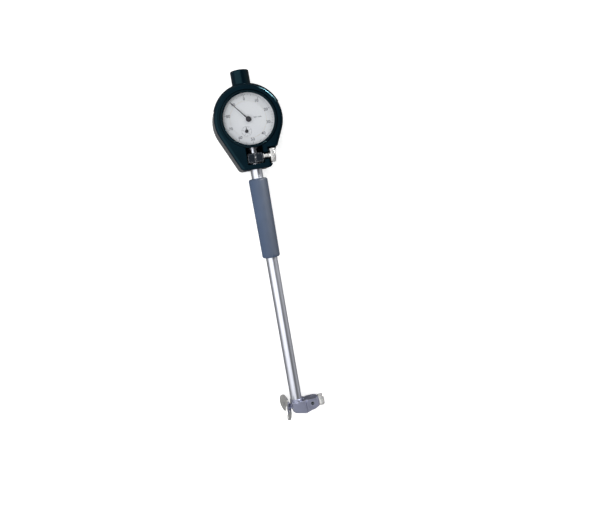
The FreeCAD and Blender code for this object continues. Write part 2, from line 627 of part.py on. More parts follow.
def top_cap():
    start = DIAL_Y + COVER_R + COVER_HOOD + HAIR
    length = DIAL_Y + CAP_RISE - start
    k = CAP_EDGE
    body = turned("y", 0, start, Z0, [(0, CAP_D / 2), (length - k - CAP_CROWN, CAP_D / 2),
                                      (length - CAP_CROWN, CAP_D / 2 - k), (length, CAP_D / 8)])
    inside = DIAL_Y + COVER_R - COVER_WALL
    neck = cyl("y", 0, inside, Z0, CAP_D - 2 * CAP_NECK - HAIR, start - inside)
    room = cyl("y", 0, inside - PAST, Z0, CAP_D - 4 * CAP_NECK, CAP_LENGTH)
    return body.fuse(neck).cut(room)


# ---- dial indicator ----
def case():
    depth = CASE_FRONT - CASE_BACK
    cup = cyl("z", 0, DIAL_Y, CASE_BACK, CASE_D, depth)
    cup = cup.cut(cyl("z", 0, DIAL_Y, CASE_BACK - 1, CASE_D - 2 * CASE_WALL, depth + 2))
    holes = cyl("y", 0, CASE_BOTTOM - 1, Z0, STEM_D - 1.0, 5)
    top = cyl("y", 0, DIAL_Y + CASE_D / 2 - 5, Z0, STEM_D - 1.0, 8)
    return cup.cut(holes).cut(top)


def case_back():
    plate = cyl("z", 0, DIAL_Y, CASE_BACK, CASE_D - 2 * CASE_WALL, 1.6)
    return plate.fuse(cyl("z", 0, DIAL_Y, CASE_BACK - 1.2, CASE_D, 1.2))


def stem():
    """The clamped stem, turned with a shoulder where it meets the case."""
    length = CASE_BOTTOM - STEM_END
    step = length - STEM_SHOULDER_T
    body = turned("y", 0, STEM_END, Z0, [(0, STEM_D / 2), (step, STEM_D / 2), (step, STEM_SHOULDER_D / 2),
                                         (length - 0.2, STEM_SHOULDER_D / 2)])
    neck = cyl("y", 0, CASE_BOTTOM - 1, Z0, STEM_D - 1.0, 1 + CASE_WALL)
    return body.fuse(neck).cut(cyl("y", 0, STEM_END - 1, Z0, SPINDLE_D + 2 * RUN, 40))


def spindle_top():
    return DIAL_Y + CASE_D / 2 + 3.0


def spindle():
    """The rack spindle, its teeth cut along the -X side where the pinion meshes."""
    start, end = rod_span()[1] + ARM_GAP, spindle_top()
    body = cyl("y", 0, start, Z0, SPINDLE_D, end - start)
    pitch = pi * RACK_MODULE
    teeth = 26
    low = COUNTER_Y - pitch * (teeth // 2 + 0.305)
    flat = RACK_LINE + RACK_MODULE * 0.8
    outer = SPINDLE_D / 2 + 1
    depth = RACK_LINE - RACK_MODULE * 1.15
    points = [(-outer, low)]
    for i in range(teeth):
        y = low + i * pitch
        points += [(-flat, y), (-depth, y + pitch * 0.18)]
        points += [(-depth, y + pitch * 0.43), (-flat, y + pitch * 0.61)]
    points += [(-flat, low + teeth * pitch), (-outer, low + teeth * pitch)]
    return body.cut(slab(points, Z0 - SPINDLE_D, Z0 + SPINDLE_D))


def spindle_bush():
    y = DIAL_Y + CASE_D / 2 - CASE_WALL
    return ring("y", 0, y, Z0, STEM_D - 1.0, SPINDLE_D + 2 * RUN, CASE_WALL + 1.4)


def plate(z):
    disc = cyl("z", 0, DIAL_Y, z, CASE_D - 2 * CASE_WALL - 1.0, PLATE_T)
    arbors = [(COUNTER_X, COUNTER_Y), (0, DIAL_Y), (HAIR_X, HAIR_Y)]
    holes = [cyl("z", x, y, z - PAST, ARBOR_D + 2 * RUN, PLATE_T + 2 * PAST) for x, y in arbors]
    return disc.cut(Part.makeCompound(holes))


def pillars():
    """Posts that carry the upper movement plate from the lower one, and this one from the case back."""
    posts = []
    radius = CASE_D / 2 - CASE_WALL - PILLAR_INSET
    for angle in (60, 120, 240, 300):
        x, y = radius * sin(radians(angle)), DIAL_Y + radius * cos(radians(angle))
        posts.append(cyl("z", x, y, LOWER_PLATE + PLATE_T, PILLAR_D, UPPER_PLATE - LOWER_PLATE - PLATE_T))
        posts.append(cyl("z", x, y, CASE_BACK + 1.6, PILLAR_D, LOWER_PLATE - CASE_BACK - 1.6))
    return Part.makeCompound(posts)


def rack_pinion():
    """The first arbor: rack pinion, large gear and the counter hand's pivot."""
    low = LOWER_PLATE + 0.2
    pinion = gear(COUNTER_X, COUNTER_Y, Z0 - 1.6, PINION_TEETH, RACK_MODULE, 3.2)
    wheel = gear(COUNTER_X, COUNTER_Y, GEAR_Z, GEAR_TEETH, GEAR_MODULE, GEAR_T)
    arbor = cyl("z", COUNTER_X, COUNTER_Y, low, ARBOR_D, COUNTER_HAND_Z - low)
    return wheel.fuse([pinion, arbor])


def centre_pinion():
    pinion = gear(0, DIAL_Y, GEAR_Z - 0.2, CENTRE_TEETH, GEAR_MODULE, GEAR_T + 0.4,
                  mesh_turn(COUNTER_X, COUNTER_Y))
    return pinion.fuse(cyl("z", 0, DIAL_Y, GEAR_Z - 0.2, ARBOR_D, HAND_Z - GEAR_Z + 0.2))


def mesh_turn(x, y):
    """Turn that puts a gap of the centre pinion opposite a tooth of the wheel at (x, y)."""
    towards = degrees(asin(x / CENTRE_DISTANCE))
    towards = towards if y > DIAL_Y else 180 - towards
    step = 360.0 / GEAR_TEETH
    offset = (towards + 180) / step - round((towards + 180) / step)
    return towards + 180.0 / CENTRE_TEETH - offset * step * GEAR_TEETH / CENTRE_TEETH


def hairspring_gear():
    """The follow-up wheel; its hairspring takes up the backlash of the train."""
    towards = degrees(asin(HAIR_X / CENTRE_DISTANCE))
    step = 360.0 / CENTRE_TEETH
    turn = mesh_turn(COUNTER_X, COUNTER_Y)
    offset = (towards - turn) / step - round((towards - turn) / step)
    wheel = gear(HAIR_X, HAIR_Y, GEAR_Z, GEAR_TEETH, GEAR_MODULE, GEAR_T,
                 towards + 180 + (0.5 + offset) * 360.0 / GEAR_TEETH)
    arbor = cyl("z", HAIR_X, HAIR_Y, LOWER_PLATE + 0.2, ARBOR_D, UPPER_PLATE + PLATE_T - LOWER_PLATE - 0.2)
    return wheel.fuse(arbor)


# ---- dial, hands, bezel and crystal ----
def dial_plate():
    disc = cyl("z", 0, DIAL_Y, CASE_FRONT, DIAL_SPLIT_D, DIAL_T)
    for x, y in [(0, DIAL_Y), (COUNTER_X, COUNTER_Y)]:
        disc = disc.cut(cyl("z", x, y, CASE_FRONT - PAST, ARBOR_D + 2 * SLIDE_GAP, DIAL_T + 2 * PAST))
    return disc


def dial_seat():
    """The ring between the upper movement plate and the dial."""
    z = UPPER_PLATE + PLATE_T
    return ring("z", 0, DIAL_Y, z, DIAL_SPLIT_D - 1, DIAL_SPLIT_D - 7, CASE_FRONT - z)


def dial_ring():
    return ring("z", 0, DIAL_Y, CASE_FRONT + HAIR, CASE_D + 0.4, DIAL_SPLIT_D + 2 * HAIR, DIAL_T)


def bezel():
    """The turning rim that carries the crystal and the scale ring."""
    low = CASE_FRONT + HAIR + DIAL_T
    r, s = BEZEL_D / 2, SIGHT_D / 2
    k, bore = BEZEL_CHAMFER, CASE_D / 2 + BEZEL_RUN
    profile = [(CASE_FRONT - BEZEL_SKIRT, bore), (CASE_FRONT - BEZEL_SKIRT, r), (BEZEL_FRONT - k, r),
               (BEZEL_FRONT, r - k), (BEZEL_FRONT, s + k), (BEZEL_FRONT - k, s),
               (CRYSTAL_BACK + CRYSTAL_T, s), (CRYSTAL_BACK + CRYSTAL_T, s + CRYSTAL_SEAT),
               (low, s + CRYSTAL_SEAT), (low, bore)]
    points = [V(rad, DIAL_Y, z) for z, rad in profile]
    face = Part.Face(Part.makePolygon(points + points[:1]))
    return face.revolve(V(0, DIAL_Y, 0), V(0, 0, 1), 360)


def crystal():
    return cyl("z", 0, DIAL_Y, CRYSTAL_BACK, SIGHT_D + 2 * CRYSTAL_SEAT, CRYSTAL_T)


def pointer(x, y, z, length, tail, width, thick, angle):
    """A tapered hand with a round eye, pointing angle degrees clockwise from the cap."""
    half, tip = width / 2, width / 8
    hand = slab([(x - half, y), (x - tip, y + length), (x + tip, y + length), (x + half, y),
                 (x + half, y - tail), (x - half, y - tail)], z, z + thick)
    hand = hand.fuse(cyl("z", x, y, z, 3 * width, thick))
    hand.rotate(V(x, y, 0), V(0, 0, 1), -angle)
    return hand


def long_hand():
    return pointer(0, DIAL_Y, HAND_Z, HAND_LENGTH, HAND_TAIL, HAND_W, HAND_T, HAND_ANGLE)


def hand_hub():
    return turned("z", 0, DIAL_Y, HAND_Z + HAND_T, [(0, HUB_D / 2), (0.5, HUB_D / 2), (1.0, HUB_D / 2 - 0.7)])


def counter_hand():
    return pointer(COUNTER_X, COUNTER_Y, COUNTER_HAND_Z, COUNTER_HAND, 1.2, 1.2, HAND_T, 0)


PIECES = {
    "head_body": head_body, "contact_bush": contact_bush, "contact_point": contact_point,
    "contact_ball": contact_ball, "bell_crank": bell_crank, "crank_pin": crank_pin,
    "guide_plate": guide_plate, "guide_pins": guide_pins, "guide_springs": guide_springs,
    "anvil_bush": anvil_bush, "anvil_nut": anvil_nut, "set_screw": set_screw,
    "tube": tube, "grip": grip, "push_rod": push_rod, "rod_guides": rod_guides,
    "clamp_body": clamp_body, "clamp_washer": clamp_washer, "clamp_screw": clamp_screw,
    "cover_front": cover_front, "cover_back": cover_back, "cover_screws": cover_screws, "top_cap": top_cap,
    "case": case, "case_back": case_back, "stem": stem, "spindle": spindle, "spindle_bush": spindle_bush,
    "lower_plate": lambda: plate(LOWER_PLATE), "upper_plate": lambda: plate(UPPER_PLATE), "pillars": pillars,
    "rack_pinion": rack_pinion, "centre_pinion": centre_pinion, "hairspring_gear": hairspring_gear,
    "dial_seat": dial_seat, "dial_plate": dial_plate, "dial_ring": dial_ring,
    "bezel": bezel, "crystal": crystal,
    "long_hand": long_hand, "hand_hub": hand_hub, "counter_hand": counter_hand,
}

for name, make in PIECES.items():
    save(name, make())
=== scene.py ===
# %% [markdown]
# # Dial bore gauge
# This lesson dresses a finished CAD model of a dial bore gauge, lying on its back on a white bench.
# The CAD solids bring every size and place, so nothing is fitted by eye: pieces made here read the
# boxes of the nodes that they belong to. First the tools and the frame are loaded.

# %% Load the frame
from math import cos, radians, sin, tau

import bmesh
import bpy
from mathutils import Matrix, Vector


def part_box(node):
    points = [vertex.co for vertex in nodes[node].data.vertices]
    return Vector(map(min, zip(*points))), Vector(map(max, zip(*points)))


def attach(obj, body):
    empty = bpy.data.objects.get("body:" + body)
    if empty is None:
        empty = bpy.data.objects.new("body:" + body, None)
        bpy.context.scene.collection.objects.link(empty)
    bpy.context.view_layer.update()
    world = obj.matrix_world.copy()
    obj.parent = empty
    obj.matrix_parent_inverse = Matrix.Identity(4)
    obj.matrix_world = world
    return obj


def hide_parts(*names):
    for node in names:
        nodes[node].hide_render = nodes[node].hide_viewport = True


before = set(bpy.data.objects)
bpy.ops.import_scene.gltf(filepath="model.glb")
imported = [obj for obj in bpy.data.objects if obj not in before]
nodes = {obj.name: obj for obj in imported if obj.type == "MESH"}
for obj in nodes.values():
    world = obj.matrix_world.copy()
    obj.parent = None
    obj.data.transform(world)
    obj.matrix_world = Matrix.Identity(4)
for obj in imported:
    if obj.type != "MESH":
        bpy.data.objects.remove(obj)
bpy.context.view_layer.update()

MM = 0.001

# %% [markdown]
# The main places are worked out from the solids. The dial's centre is the middle of its fixed plate,
# the tube's axis is the middle of the tube, and the measuring axis is the middle of the anvil nut.

# %% Places read from the solids


def middle(node):
    low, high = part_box(node)
    return (low + high) / 2


def size(node):
    low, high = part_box(node)
    return high - low


dial = middle("dial_plate")
dial_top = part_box("dial_plate")[1].z
ring_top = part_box("dial_ring")[1].z
tube_axis = middle("tube")
head = Vector((0, middle("anvil_nut").y, tube_axis.z))
print("dial centre", dial / MM, "measuring axis", head / MM)

# %% [markdown]
# ## Camera
# The gauge lies flat, so the camera looks down on it, a little from the guide's side and from beyond
# the dial's centre. It is near enough for the head to be seen partly from above, as a tall object is
# from eye level. The roll leans the tube to the left. A plain lens with no shift keeps other views centred.

# %% Camera
AIM_SIDE = 30.2 * MM          # right of the tube's axis
AIM_UP = 158.7 * MM           # above the measuring axis
DISTANCE = 620 * MM
YAW, PITCH, ROLL = radians(9.9), radians(6.5), radians(9.6)
LENS = 35.6

aim = head + Vector((AIM_SIDE, AIM_UP, 0))
back = Vector((-sin(YAW) * cos(PITCH), sin(PITCH), cos(YAW) * cos(PITCH)))
camera_data = bpy.data.cameras.new("camera")
camera_data.sensor_width = 36
camera_data.lens = LENS
camera = bpy.data.objects.new("camera", camera_data)
bpy.context.scene.collection.objects.link(camera)
camera.location = aim + back * DISTANCE
right = Vector((0, 1, 0)).cross(back).normalized()
up = back.cross(right)
turn = Matrix((right, up, back)).transposed() @ Matrix.Rotation(-ROLL, 3, "Z")
camera.rotation_euler = turn.to_euler()
bpy.context.scene.camera = camera
print("camera at", camera.location)

# %% [markdown]
# ## Studio
# A wide floor stands for the bench. To the camera it glows close to white and still takes the gauge's
# soft shadow. Glossy rays see it grey, so that the cover's black sides don't turn white.
# The world is white to the camera. To every other ray it is a studio with a light wall on the left and
# a dark flag on the right, which draws the light and dark strips that make a round tube look ground.
# The key lamp is a wide soft one. The rim lamp is narrow, is aimed at the dial and is kept out of
# diffuse light, so that it only draws the bright arcs along the cover's and the bezel's edges.

# %% Floor, world and lamps
BENCH_REACH = 4.0             # half the bench's width, in metres
BENCH_DROP = 0.2 * MM         # keeps the bench clear of the cover's back

# From the left wall (-X) to the right (+X): where each tone stands, from 0 to 1, and how bright it is.
STUDIO_TONES = [(0.0, 0.70), (0.30, 0.90), (0.52, 0.60), (0.62, 0.32), (0.70, 0.08), (0.82, 0.12),
                (0.95, 0.55)]


def light_path_mix(tree, ray, seen, hidden):
    """Mixes two values or sockets: `seen` for that kind of ray and `hidden` for all others."""
    path = tree.nodes.new("ShaderNodeLightPath")
    mix = tree.nodes.new("ShaderNodeMix")
    for socket, value in (("A", hidden), ("B", seen)):
        if isinstance(value, float):
            mix.inputs[socket].default_value = value
        else:
            tree.links.new(value, mix.inputs[socket])
    tree.links.new(path.outputs[ray], mix.inputs["Factor"])
    return mix.outputs["Result"]


def make_floor():
    mesh = bpy.data.meshes.new("bench")
    corners = [(x * BENCH_REACH, y * BENCH_REACH, 0) for x, y in ((-1, -1), (1, -1), (1, 1), (-1, 1))]
    mesh.from_pydata(corners, [], [(0, 1, 2, 3)])
    bench = bpy.data.objects.new("bench", mesh)
    bench.location.z = -BENCH_DROP
    bpy.context.scene.collection.objects.link(bench)
    material = bpy.data.materials.new("white_bench")
    material.use_nodes = True
    tree = material.node_tree
    shader = tree.nodes["Principled BSDF"]
    shader.inputs["Roughness"].default_value = 0.9
    shader.inputs["Emission Color"].default_value = (1, 1, 1, 1)
    tree.links.new(light_path_mix(tree, "Is Glossy Ray", 0.30, 0.86), shader.inputs["Base Color"])
    tree.links.new(light_path_mix(tree, "Is Camera Ray", 0.62, 0.0), shader.inputs["Emission Strength"])
    mesh.materials.append(material)


def make_world():
    world = bpy.data.worlds.new("studio")
    bpy.context.scene.world = world
    world.use_nodes = True
    tree = world.node_tree
    new, link = tree.nodes.new, tree.links.new
    place, parts, shift, tones = (new("ShaderNodeTexCoord"), new("ShaderNodeSeparateXYZ"),
                                  new("ShaderNodeMapRange"), new("ShaderNodeValToRGB"))
    link(place.outputs["Generated"], parts.inputs["Vector"])
    shift.inputs["From Min"].default_value = -1.0
    link(parts.outputs["X"], shift.inputs["Value"])
    link(shift.outputs["Result"], tones.inputs["Fac"])
    ramp = tones.color_ramp.elements
    while len(ramp) < len(STUDIO_TONES):
        ramp.new(0.5)
    for element, (position, tone) in zip(ramp, STUDIO_TONES):
        element.position = position
        element.color = (tone, tone, tone, 1)
    background = tree.nodes["Background"]
    background.inputs["Color"].default_value = (1.0, 1.0, 1.0, 1)
    link(light_path_mix(tree, "Is Camera Ray", 1.0, tones.outputs["Color"]), background.inputs["Strength"])


def area_lamp(name, place, target, wide, tall, power):
    data = bpy.data.lights.new(name, "AREA")
    data.shape = "RECTANGLE"
    data.size, data.size_y, data.energy = wide, tall, power
    lamp = bpy.data.objects.new(name, data)
    bpy.context.scene.collection.objects.link(lamp)
    lamp.location = place
    lamp.rotation_euler = (Vector(target) - Vector(place)).to_track_quat("-Z", "Y").to_euler()
    return lamp


make_floor()
make_world()
area_lamp("key", (-0.60, 0.0, 0.85), (0, 0, 0), 1.0, 1.6, 5.6)
rim = area_lamp("rim", (0.50, 0.62, 0.50), dial, 0.6, 0.12, 1.5)
rim.data.spread = radians(24)
rim.visible_diffuse = False

scene = bpy.context.scene
scene.view_settings.view_transform = "Standard"

# %% [markdown]
# ## Finishes
# Every finish is one small tree round a Principled shader. `finish` makes the tree with a base colour,
# mottled a little by noise, a roughness that varies the same way, and a bump from noise that can be
# stretched along one axis: stretched noise looks like a ground or turned surface, even noise like
# moulded plastic. Numbers that are the same all over are set on the shader's own sockets.
#
# The edge colour is a painted highlight on what stands out: a bevelled normal differs from the real one only
# near an edge, and there the colour is lightened to stand in for light that the chamfers catch.

# %% The finish maker
# How alike the two normals are, as a cosine, where the painted edge highlight starts and where it is at full
# strength.
EDGE_STARTS, EDGE_FULL_HIGHLIGHT = 0.995, 0.90


def edge_mask(tree, width):
    """One beside an edge and nought on flat ground."""
    new, link = tree.nodes.new, tree.links.new
    bevel, real, likeness = new("ShaderNodeBevel"), new("ShaderNodeNewGeometry"), new("ShaderNodeVectorMath")
    bevel.inputs["Radius"].default_value = width
    likeness.operation = "DOT_PRODUCT"
    link(bevel.outputs["Normal"], likeness.inputs[0])
    link(real.outputs["Normal"], likeness.inputs[1])
    mask = new("ShaderNodeMapRange")
    mask.inputs["From Min"].default_value = EDGE_STARTS
    mask.inputs["From Max"].default_value = EDGE_FULL_HIGHLIGHT
    link(likeness.outputs["Value"], mask.inputs["Value"])
    return mask.outputs["Result"]


def wear(tree, plain, shader, edge_highlight, width):
    """Mixes the edge colour in beside the edges as a painted highlight for light the chamfers catch, and lowers
    the metallic weight there so that colour shows.
    """
    mask = edge_mask(tree, width)
    mix, edge_metallic = tree.nodes.new("ShaderNodeMix"), tree.nodes.new("ShaderNodeMapRange")
    mix.data_type = "RGBA"
    mix.inputs["B"].default_value = (*edge_highlight, 1)
    tree.links.new(mask, mix.inputs["Factor"])
    tree.links.new(plain, mix.inputs["A"])
    edge_metallic.inputs["To Min"].default_value = 1.0
    edge_metallic.inputs["To Max"].default_value = 0.3
    tree.links.new(mask, edge_metallic.inputs["Value"])
    tree.links.new(edge_metallic.outputs["Result"], shader.inputs["Metallic"])
    return mix.outputs["Result"]


def finish(name, colour, roughness, metallic=0.0, mottle=0.08, grain=600.0, stretch=(1, 1, 1), bump=0.02,
           rough_spread=0.06, coat=0.0, specular=0.5, specular_tint=(1, 1, 1), edge_highlight=None, edge_width=0.45 * MM):
    material = bpy.data.materials.new(name)
    material.use_nodes = True
    tree = material.node_tree
    new, link = tree.nodes.new, tree.links.new
    shader = tree.nodes["Principled BSDF"]
    shader.inputs["Metallic"].default_value = metallic
    shader.inputs["Coat Weight"].default_value = coat
    shader.inputs["Specular IOR Level"].default_value = specular
    shader.inputs["Specular Tint"].default_value = (*specular_tint, 1)

    place = new("ShaderNodeTexCoord")
    mapping = new("ShaderNodeMapping")
    mapping.inputs["Scale"].default_value = stretch
    link(place.outputs["Object"], mapping.inputs["Vector"])

    fine = new("ShaderNodeTexNoise")
    fine.inputs["Scale"].default_value = grain
    fine.inputs["Detail"].default_value = 4
    link(mapping.outputs["Vector"], fine.inputs["Vector"])

    broad = new("ShaderNodeTexNoise")
    broad.inputs["Scale"].default_value = 45
    broad.inputs["Detail"].default_value = 3
    link(place.outputs["Object"], broad.inputs["Vector"])

    tint = new("ShaderNodeValToRGB")
    dark = [c * (1 - mottle) for c in colour]
    light = [min(1, c * (1 + mottle)) for c in colour]
    tint.color_ramp.elements[0].color = (*dark, 1)
    tint.color_ramp.elements[1].color = (*light, 1)
    tint.color_ramp.elements[0].position = 0.3
    tint.color_ramp.elements[1].position = 0.7
    link(broad.outputs["Fac"], tint.inputs["Fac"])
    surface = tint.outputs["Color"]
    # Beside the edges the base colour is lightened: a painted highlight.
    if edge_highlight is not None:
        surface = wear(tree, surface, shader, edge_highlight, edge_width)
    link(surface, shader.inputs["Base Color"])

    rough = new("ShaderNodeMapRange")
    rough.inputs["To Min"].default_value = max(0.02, roughness - rough_spread)
    rough.inputs["To Max"].default_value = roughness + rough_spread
    link(fine.outputs["Fac"], rough.inputs["Value"])
    link(rough.outputs["Result"], shader.inputs["Roughness"])

    relief = new("ShaderNodeBump")
    relief.inputs["Strength"].default_value = 1.0
    relief.inputs["Distance"].default_value = bump * MM
    link(fine.outputs["Fac"], relief.inputs["Height"])
    link(relief.outputs["Normal"], shader.inputs["Normal"])
    return material


# %% [markdown]
# The head is milled steel with a satin plate, and the guide, the nut and the clamp screw are bright
# nickel. The tube is ground, so its grain runs round it: the noise is squeezed along Y. The split
# clamp is blackened steel. Satin and blackened steel get a painted highlight: a lighter colour beside their
# edges.

# %% Metal finishes
# The edge colours below are painted highlights along the chamfers.
satin_steel = finish("satin_steel", (0.36, 0.38, 0.51), 0.30, 1.0, 0.16, 900, (1, 1, 1), 0.004,
                     edge_highlight=(0.60, 0.61, 0.68))
bright_nickel = finish("bright_nickel", (0.93, 0.93, 0.92), 0.22, 1.0, 0.05, 700, (1, 1, 1), 0.002)
ground_chrome = finish("ground_chrome", (0.60, 0.62, 0.68), 0.30, 1.0, 0.04, 120, (0.2, 14, 0.2), 0.0012)
black_oxide = finish("black_oxide", (0.018, 0.024, 0.032), 0.28, 1.0, 0.2, 900, (1, 1, 1), 0.004,
                     edge_highlight=(0.35, 0.38, 0.42), edge_width=0.7 * MM)
cut_brass = finish("cut_brass", (0.70, 0.50, 0.20), 0.30, 1.0, 0.08, 500, (1, 1, 1), 0.002)
hard_metal = finish("hard_metal", (0.22, 0.22, 0.24), 0.12, 1.0, 0.05, 500, (1, 1, 1), 0.001)
die_casting = finish("die_casting", (0.30, 0.30, 0.33), 0.45, 1.0, 0.08, 400, (1, 1, 1), 0.01)

# %% [markdown]
# The cover is glossy moulded plastic, nearly black with a cold tint. The grip is a matt sleeve with a
# fine moulded grain. The bezel is enamelled, and the dial is matt white with a faint blue cast.

# %% Plastic and painted finishes
black_cover = finish("black_cover", (0.0010, 0.0070, 0.0140), 0.14, 0.0, 0.25, 900, (1, 1, 1), 0.002, 0.03,
                     specular=0.18, specular_tint=(0.35, 0.85, 1.0))
blue_grey_grip = finish("blue_grey_grip", (0.058, 0.093, 0.168), 0.62, 0.0, 0.08, 1500, (1, 1, 1), 0.03, 0.08)
black_bezel = finish("black_bezel", (0.0012, 0.005, 0.010), 0.14, 0.0, 0.2, 900, (1, 1, 1), 0.001, 0.03,
                     specular=0.22, specular_tint=(0.35, 0.85, 1.0))
dial_white = finish("dial_white", (0.92, 0.95, 1.0), 0.55, 0.0, 0.02, 900, (1, 1, 1), 0.001)
print_ink = finish("print_ink", (0.05, 0.055, 0.09), 0.5, 0.0, 0.05, 900, (1, 1, 1), 0.0)
hand_enamel = finish("hand_enamel", (0.012, 0.012, 0.022), 0.35, 0.0, 0.1, 900, (1, 1, 1), 0.0)
white_plastic = finish("white_plastic", (0.75, 0.75, 0.70), 0.5, 0.0, 0.05, 500, (1, 1, 1), 0.01)

# %% [markdown]
# The crystal is a thin clear disc. Its shader is mostly transparent and keeps only a little gloss, so
# light reaches the dial without the noise that true refraction would bring.

# %% Crystal


def clear_crystal():
    material = bpy.data.materials.new("clear_crystal")
    material.use_nodes = True
    tree = material.node_tree
    shader = tree.nodes["Principled BSDF"]
    shader.inputs["Base Color"].default_value = (0.0, 0.0, 0.0, 1)
    shader.inputs["Roughness"].default_value = 0.03
    shader.inputs["Specular IOR Level"].default_value = 0.25
    shader.inputs["Alpha"].default_value = 0.05
    return material


crystal_glass = clear_crystal()

FINISHES = {
    satin_steel: ["head_body", "contact_point", "contact_bush", "guide_pins", "crank_pin", "bell_crank",
                  "anvil_bush", "guide_springs", "cover_screws"],
    black_oxide: ["clamp_body", "set_screw"],
    bright_nickel: ["guide_plate", "clamp_screw", "anvil_nut", "clamp_washer"],
    ground_chrome: ["tube", "stem", "spindle", "push_rod"],
    cut_brass: ["lower_plate", "upper_plate", "pillars", "rack_pinion", "hairspring_gear", "centre_pinion",
                "dial_seat", "spindle_bush"],
    hard_metal: ["contact_ball"],
    die_casting: ["case", "case_back"],
    black_cover: ["cover_front", "cover_back", "top_cap"],
    blue_grey_grip: ["grip"],
    black_bezel: ["bezel"],
    dial_white: ["dial_plate", "dial_ring"],
    hand_enamel: ["long_hand", "hand_hub", "counter_hand"],
    white_plastic: ["rod_guides"],
    crystal_glass: ["crystal"],
}


def dress(node, material):
    """Gives a CAD node its finish and smooth shading with crisp edges."""
    mesh = nodes[node].data
    mesh.materials.clear()
    mesh.materials.append(material)
    mesh.shade_smooth()
    mesh.set_sharp_from_angle(angle=radians(28))


for material, names in FINISHES.items():
    for name in names:
        dress(name, material)
print("dressed", sum(len(names) for names in FINISHES.values()), "of", len(nodes), "nodes")

# %% [markdown]
# ## Dial print
# A dial's print is ink a few hundredths of a millimetre thick. The hundred strokes are thin quads in
# one mesh, longer at every fifth and tenth, and the numbers are text turned into mesh, upright all
# round. The scale belongs to the turning ring, so it rides with the bezel.

# %% Print helpers
INK_LIFT = 0.02 * MM


def to_piece(name, mesh, material, body):
    piece = bpy.data.objects.new(name, mesh)
    bpy.context.scene.collection.objects.link(piece)
    mesh.materials.clear()
    mesh.materials.append(material)
    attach(piece, body)
    return piece


def around(centre, radius, angle, z):
    """A point at that angle, clockwise from the cap, round a centre."""
    return Vector((centre.x + radius * sin(angle), centre.y + radius * cos(angle), z))


def strokes(name, centre, z, count, radii, width, body, first=0.0):
    """Radial strokes: radii gives (inner, outer) for the index of each stroke."""
    mesh = bpy.data.meshes.new(name)
    bm = bmesh.new()
    for i in range(count):
        angle = first + tau * i / count
        inner, outer = radii(i)
        side = Vector((cos(angle), -sin(angle), 0)) * width(i) / 2
        ends = around(centre, inner, angle, z), around(centre, outer, angle, z)
        corners = [ends[0] - side, ends[0] + side, ends[1] + side, ends[1] - side]
        bm.faces.new([bm.verts.new(c) for c in reversed(corners)])
    bmesh.ops.recalc_face_normals(bm, faces=bm.faces)
    bm.to_mesh(mesh)
    bm.free()
    return to_piece(name, mesh, print_ink, body)


def words(name, labels, height, z, body):
    """Upright text at given places, as one flat mesh. labels is a list of (text, x, y)."""
    mesh = bpy.data.meshes.new(name)
    bm = bmesh.new()
    for label, x, y in labels:
        curve = bpy.data.curves.new("label", "FONT")
        curve.body = label
        curve.size = height
        curve.align_x, curve.align_y = "CENTER", "CENTER"
        curve.resolution_u = 4
        curve.offset = 0.012 * height
        text = bpy.data.objects.new("label", curve)
        flat = bpy.data.meshes.new_from_object(text)
        flat.transform(Matrix.Translation((x, y, z)))
        bm.from_mesh(flat)
        bpy.data.objects.remove(text)
    bm.to_mesh(mesh)
    bm.free()
    return to_piece(name, mesh, print_ink, body)


# %% [markdown]
# The scale's zero stands a little to the left of the tube's line, where the bezel was last turned to.

# %% Scale on the turning ring
ZERO = radians(-2.7)
BEZEL_LIP = 0.9 * MM          # how far the bezel covers the crystal's edge
SCALE_MARGIN = 0.5 * MM       # from the lip to the strokes
TENS, FIVES, ONES = 2.6 * MM, 2.1 * MM, 1.4 * MM     # how long the strokes are
BOLD, FINE = 0.36 * MM, 0.2 * MM                     # and how wide
NUMBER_HEIGHT, NUMBER_RING = 4.0 * MM, 0.79          # the ring as a share of the sight
sight = size("crystal").x / 2 - BEZEL_LIP
ink_z = ring_top + INK_LIFT


def scale_radii(i):
    outer = sight - SCALE_MARGIN
    return outer - (TENS if i % 10 == 0 else FIVES if i % 5 == 0 else ONES), outer


def numbers_round(centre, radius, first, count, labels):
    """Places for labels round a centre; labels maps each place's index to its text."""
    spots = {i: around(centre, radius, first + tau * i / count, 0) for i in labels}
    return [(labels[i], spot.x, spot.y) for i, spot in spots.items()]


strokes("scale_strokes", dial, ink_z, 100, scale_radii, lambda i: BOLD if i % 10 == 0 else FINE, "bezel",
        ZERO)
words("scale_numbers", numbers_round(dial, NUMBER_RING * sight, ZERO, 10, {i: str(i * 10) for i in range(10)}),
      NUMBER_HEIGHT, ink_z, "bezel")
print("scale: 100 strokes, zero at", round(ZERO, 3))

# %% [markdown]
# The counter is a small dial that counts whole turns of the long hand. It is printed on the fixed
# plate with a thin rim, ten strokes and a few small numbers. The graduation is written beside the hub.

# %% Counter and graduation on the fixed plate
counter = middle("rack_pinion")
counter_centre = Vector((counter.x, counter.y, 0))
counter_z = dial_top + INK_LIFT
COUNTER_R, COUNTER_STROKE = 5.0 * MM, 1.0 * MM
COUNTER_NUMBER_RING, COUNTER_NUMBER_HEIGHT = 3.1 * MM, 1.3 * MM
RIM_LINE = 0.14 * MM
RIM_STEPS = 96
GRADUATION_HEIGHT = 2.3 * MM
GRADUATION_AT = (dial.x + 9.6 * MM, dial.y + 1.2 * MM)     # right of the hub


def print_ring(name, centre, radius, width, z, body):
    mesh = bpy.data.meshes.new(name)
    bm = bmesh.new()
    loops = [[bm.verts.new(around(centre, r, tau * i / RIM_STEPS, z)) for i in range(RIM_STEPS)]
             for r in (radius - width / 2, radius + width / 2)]
    for i in range(RIM_STEPS):
        j = (i + 1) % RIM_STEPS
        bm.faces.new((loops[0][i], loops[1][i], loops[1][j], loops[0][j]))
    bmesh.ops.recalc_face_normals(bm, faces=bm.faces)
    bm.to_mesh(mesh)
    bm.free()
    return to_piece(name, mesh, print_ink, body)


